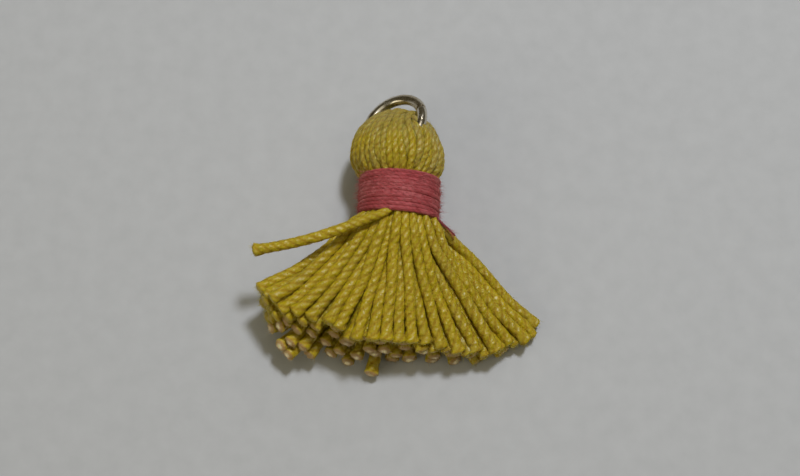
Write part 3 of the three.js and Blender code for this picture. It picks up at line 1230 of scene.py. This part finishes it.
    def keep_in_outline(self, points: Array) -> None:
        """Keeps points in the binding, in the head's outline and above the surface, in place."""
        along, room = points[:, 1], self.room(points)
        neck = np.abs(along) <= self.band_half
        outline = (*head_outline(np.clip(along, HEAD[0].along, None)), room)
        binding = (0.0, self.band_inner, self.band_inner, self.neck_room)
        middle, wide, high, inside = (np.where(neck, *pair) for pair in zip(binding, outline))
        x, z = points[:, 0] - middle, points[:, 2] - self.axis_height
        share = np.hypot(x / (wide - inside), z / (high - inside))
        out = (along > -self.band_half) & (share > 1)
        points[out, 0] = middle[out] + x[out] / share[out]
        points[out, 2] = self.axis_height + z[out] / share[out]
        points[:, 1] = np.minimum(points[:, 1], self.top - room)
        points[:, 2] = np.maximum(points[:, 2], room)

    def relax(self, yarns: Array) -> Array:
        """Relaxes the laid yarns until they lie side by side.

        Each round smooths the yarns, restores their lengths, parts those that overlap and keeps them
        off the wire, in the binding and on the surface.

        Args:
            yarns: The laid yarns' points.

        Returns:
            The relaxed points.
        """
        rest = np.linalg.norm(np.diff(yarns, axis=1), axis=2)
        ends, fan = yarns[:, [0, -1]].copy(), yarns.copy()
        pairs = self.near_pairs(yarns.reshape(-1, 3))
        for turn in range(self.rounds):
            if turn % self.pair_rounds == self.pair_rounds - 1:
                pairs = self.near_pairs(yarns.reshape(-1, 3))
            # The yarns turn sharply out over the binding's edge and lie in even curves elsewhere.
            place = yarns[:, 1:-1, 1:2]
            sharp = (place > self.edge_zone[0]) & (place < self.edge_zone[1])
            give = np.where(sharp, self.edge_give, self.give)
            yarns[:, 1:-1] += give * (0.5 * (yarns[:, :-2] + yarns[:, 2:]) - yarns[:, 1:-1])
            for start in (0, 1):
                low, high = yarns[:, start:-1:2], yarns[:, start + 1 :: 2]
                gap = high - low
                size = np.linalg.norm(gap, axis=2, keepdims=True)
                fix = 0.5 * (size - rest[:, start::2, None]) / size * gap
                low += fix
                high -= fix
            points = yarns.reshape(-1, 3)
            self.part_yarns(points, pairs)
            self.keep_off_wire(points)
            self.keep_in_outline(points)
            yarns[:, [0, -1]] += 0.5 * (ends - yarns[:, [0, -1]])
            skirt = yarns[..., 1] < self.fan_start
            yarns[skirt] += self.fan_pull * (fan[skirt] - yarns[skirt])
        for _ in range(3):
            yarns[:, 1:-1] = 0.25 * yarns[:, :-2] + 0.5 * yarns[:, 1:-1] + 0.25 * yarns[:, 2:]
        return yarns

    def build(self, place: SettingOut) -> Tuple[List[bpy.types.Object], bpy.types.Object]:
        """Makes the yarns and their loose fibres.

        Args:
            place: The setting-out that gives the frame's metres.

        Returns:
            The yarn pieces, the one with the loose end last, and the piece of loose fibres.
        """
        rng = np.random.default_rng(self.seed)
        yarns = self.relax(self.lay(rng))
        material = MercerisedCotton().make()
        loose = self.loose_leg % self.yarns
        others = sorted((yarn for yarn in range(self.yarns) if yarn != loose), key=lambda n: yarns[n, 0, 0])
        groups = {
            "yarn_left": others[:15], "yarn_middle": others[15:30], "yarn_right": others[30:],
            "yarn_with_loose_end": [loose],
        }
        made, fibres = [], Draft()
        for name, members in groups.items():
            draft = Draft()
            for member in members:
                pale = np.array([self.paleness.get(leg, 0.0) for leg in (member, self.yarns + member)])
                tone = 0.6 if member == loose else float(rng.uniform(0.25, 0.8))
                self.spin(draft, fibres, yarns[member], pale, tone, rng)
            made.append(draft.finish(name, place, material))
        return made, fibres.finish("yarn_fibres", place, material)

    def spin(
        self, draft: Draft, fibres: Draft, nodes: Array, pale: Array, tone: float,
        rng: Random,
    ) -> None:
        """Makes one yarn as a twisted tube with its fibres.

        Args:
            draft: The mesh that takes the yarn.
            fibres: The mesh that takes its loose fibres.
            nodes: The relaxed yarn's points.
            pale: How pale its two cut faces are, zero for those of the top layer.
            tone: The shade that the dye gave it.
            rng: Gives its phase and fibres.
        """
        fine = smooth_route(nodes[:: self.node_step], 400)
        length = length_of(fine)
        count = int(round(length / self.twist.step)) + 1
        line = evenly(fine, count)
        upper = pale == 0
        # The lower ends with pale faces curl up and show them.
        lift = np.where(upper, rng.uniform(-0.1, 0.1, 2), self.curl * pale)
        from_end = np.array([np.arange(count), np.arange(count)[::-1]]) * self.twist.step
        line[:, 2] += lift @ np.clip(1 - from_end / self.curl_length, 0, 1) ** 2
        radius = self.room(line) * (self.plump + wander(rng, count, length / 4, 0.05))
        turns = np.cumsum(self.twist.step / looked_up(line[:, 1], YARN_PITCH))
        turns = turns + wander(rng, count, length / 6, 0.16)
        # The head is painted duller than the skirt, and the fold over the ring darker still, as painted
        # shade.
        with_painted_shade = tone - self.dull_head * np.clip((line[:, 1] + 2) / 4, 0, 1)
        with_painted_shade = with_painted_shade - self.fold_shade * np.clip((line[:, 1] - 4.2) / 2.4, 0, 1)
        phase = float(rng.uniform(0, 1))
        opening = tuple(np.where(upper, 0.32, 0.22) * rng.uniform(0.5, 1.2, 2))
        ahead, side, up = self.twist.tube(
            draft, line, radius, phase, with_painted_shade, opening, rng, turns, tuple(pale)
        )
        # Loose fibres along the yarn, out of the binding.
        spots = rng.integers(4, count - 4, self.fuzz.number)
        spots = spots[np.abs(line[spots, 1]) > 2.3]
        many = len(spots)
        outward = around(rng.uniform(0, TURN, many), side[spots], up[spots])
        round_yarn = np.cross(ahead[spots], outward)
        way = ahead[spots] * rng.choice([-1.0, 1.0], (many, 1)) + 0.7 * round_yarn + 0.28 * outward
        bend = outward * rng.uniform(-0.2, 0.45, (many, 1)) - round_yarn * 0.3
        tones = np.clip(tone + rng.uniform(-0.3, 0.5, many), 0, 1)
        start = line[spots] + outward * radius[spots, None] * 0.86
        fibres.add_fibres(start, way, bend, self.fuzz.lengths(rng, many), self.fuzz.radius, tones)
        # The brush of fibres on each cut face.
        many = self.brush.number
        for row, outer, cut in ((0, -1.0, pale[0]), (count - 1, 1.0, pale[1])):
            spread = around(rng.uniform(0, TURN, many), side[row], up[row])
            reach = np.sqrt(rng.uniform(0, 1, many))
            start = line[row] + spread * (reach * radius[row])[:, None] - outer * ahead[row] * 0.05
            way = outer * ahead[row] + spread * (reach * rng.uniform(0.2, 0.8, many))[:, None]
            bend = rng.normal(0, 0.2, (many, 3))
            lengths, tones = self.brush.lengths(rng, many), rng.uniform(0.1, 0.9, many)
            fibres.add_fibres(start, way, bend, lengths, self.brush.radius, tones, 0.4 * cut)

    def dress(self, pieces: Sequence[bpy.types.Object], fibres: bpy.types.Object) -> None:
        """Gives the yarn pieces their places in the frame's table."""
        for piece in [*pieces, fibres]:
            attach(piece, "root")
            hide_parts("yarn_hank")
        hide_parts("yarn_hank", "stray_yarn_end")


# ----- The binding -----


@dataclass
class Whipping:
    """Sewing thread wound round the neck, and its short cut tail, in set-out millimetres."""

    turns: int = 11
    length: float = 3.8
    thread: float = 0.345
    inner: float = 3.05
    axis_height: float = 4.0
    tilt: float = 0.07
    bulk: float = 1.45
    tucked_turn: float = 0.06
    tuck: float = 0.35
    tail_route: Tuple[Triple, ...] = (
        (3.25, -1.8, 4.7), (3.57, -2.2, 4.9), (4.13, -2.7, 4.95), (4.77, -3.28, 4.9),
    )
    seed: int = 23
    fuzz: FibreKind = FibreKind(3200, 0.25, 0.9, 0.013)
    tail_fuzz: FibreKind = FibreKind(50, 0.2, 0.5, 0.011)
    twist: Twist = Twist(plies=2, pitch=1.1, groove=0.09, columns=10, step=0.12)

    def wind(self, winding: Draft, fibres: Draft, rng: Random) -> None:
        """Winds the thread round the neck.

        Args:
            winding: The mesh that takes the thread.
            fibres: The mesh that takes its loose fibres.
            rng: Gives the small unevenness.
        """
        radius = self.inner + self.thread / 2
        total = TURN * radius * self.turns
        count = int(total / self.twist.step)
        turn = np.linspace(0, self.turns, count)
        start = self.length / 2 - self.thread / 2
        travel = (self.length - self.thread) * turn / self.turns
        along = start - travel + wander(rng, count, total / 10, 0.1)
        # Both ends are tucked under.
        tuck = np.clip(np.minimum(turn, self.turns - turn) / self.tucked_turn, 0, 1)
        reach = radius + wander(rng, count, total / 8, 0.06) - self.tuck * (1 - tuck)
        angle = TURN * turn - 0.5 * math.pi
        # The turns lie a little aslant, lower on the right.
        along = along - self.tilt * reach * np.cos(angle)
        line = np.stack([reach * np.cos(angle), along, self.axis_height + reach * np.sin(angle)], axis=1)
        thickness = self.thread / 2 * (self.bulk + wander(rng, count, total / 6, 0.14))
        ahead = self.twist.tube(winding, line, thickness, 0.0, 0.5)[0]
        many = self.fuzz.number
        spots = rng.integers(20, count - 20, many)
        outward = unit_rows(line * [1, 0, 1] - [0, 0, self.axis_height])[spots]
        way = ahead[spots] * rng.choice([-1.0, 1.0], (many, 1)) + 0.35 * outward
        way = way + rng.normal(0, 0.3, way.shape)
        bend = outward * rng.uniform(-0.3, 0.35, (many, 1))
        lengths, tones = self.fuzz.lengths(rng, many), rng.uniform(0, 1, many)
        starts = line[spots] + outward * self.thread * 0.45
        fibres.add_fibres(starts, way, bend, lengths, self.fuzz.radius, tones)

    def lay_tail(self, tail: Draft, fibres: Draft, rng: Random) -> None:
        """Lays the thread's cut tail beside the skirt.

        Args:
            tail: The mesh that takes the tail.
            fibres: The mesh that takes its loose fibres.
            rng: Gives the small unevenness.
        """
        route = smooth_route(np.array(self.tail_route), 200)
        route = evenly(route, int(length_of(route) / self.twist.step))
        size = self.thread / 2 * np.linspace(0.75, 0.45, len(route))
        ahead, side, up = self.twist.tube(tail, route, size, 0.2, -0.6, rough=rng)
        many = self.tail_fuzz.number
        spots = rng.integers(4, len(route) - 1, many)
        off = around(rng.uniform(0, TURN, many), side[spots], up[spots])
        lengths, tones = self.tail_fuzz.lengths(rng, many), rng.uniform(0, 1, many)
        starts, ways = route[spots] + off * 0.12, ahead[spots] + 0.5 * off
        fibres.add_fibres(starts, ways, off * 0.2, lengths, self.tail_fuzz.radius, tones)

    def build(self, place: SettingOut) -> List[bpy.types.Object]:
        """Makes the winding, the tail and the loose fibres.

        Args:
            place: The setting-out that gives the frame's metres.

        Returns:
            The three pieces, in that order.
        """
        rng = np.random.default_rng(self.seed)
        material = SpunPolyester().make()
        winding, tail, fibres = Draft(), Draft(), Draft()
        self.wind(winding, fibres, rng)
        self.lay_tail(tail, fibres, rng)
        drafts = {"thread_winding": winding, "thread_tail": tail, "thread_fibres": fibres}
        return [draft.finish(name, place, material) for name, draft in drafts.items()]

    def dress(self, winding: bpy.types.Object, tail: bpy.types.Object, fibres: bpy.types.Object) -> None:
        """Gives the thread pieces their places in the frame's table."""
        for piece in (winding, tail, fibres):
            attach(piece, "root")
        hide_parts("binding")
        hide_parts("binding")
        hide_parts("binding_tail")


# ----- The whole -----


def main() -> None:
    """Builds the tassel and its setting in order."""
    logging.basicConfig(level=logging.INFO, format="%(name)s %(message)s")
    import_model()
    place = SettingOut.from_frame()
    studio = Studio()
    studio.place_camera(place)
    studio.lay_floor()
    studio.light(place)
    jump_ring = JumpRing()
    ring = jump_ring.build(place)
    jump_ring.dress(ring)
    hank = YarnHank(jump_ring.centre(place), jump_ring.radius, jump_ring.wire / 2)
    yarns, fibres = hank.build(place)
    hank.dress(yarns, fibres)
    whipping = Whipping()
    threads = whipping.build(place)
    whipping.dress(*threads)
    for piece in [ring, *yarns, fibres, *threads]:
        piece.data.calc_loop_triangles()
        LOG.info("%s: %d triangles", piece.name, len(piece.data.loop_triangles))


if __name__ == "__main__":
    main()
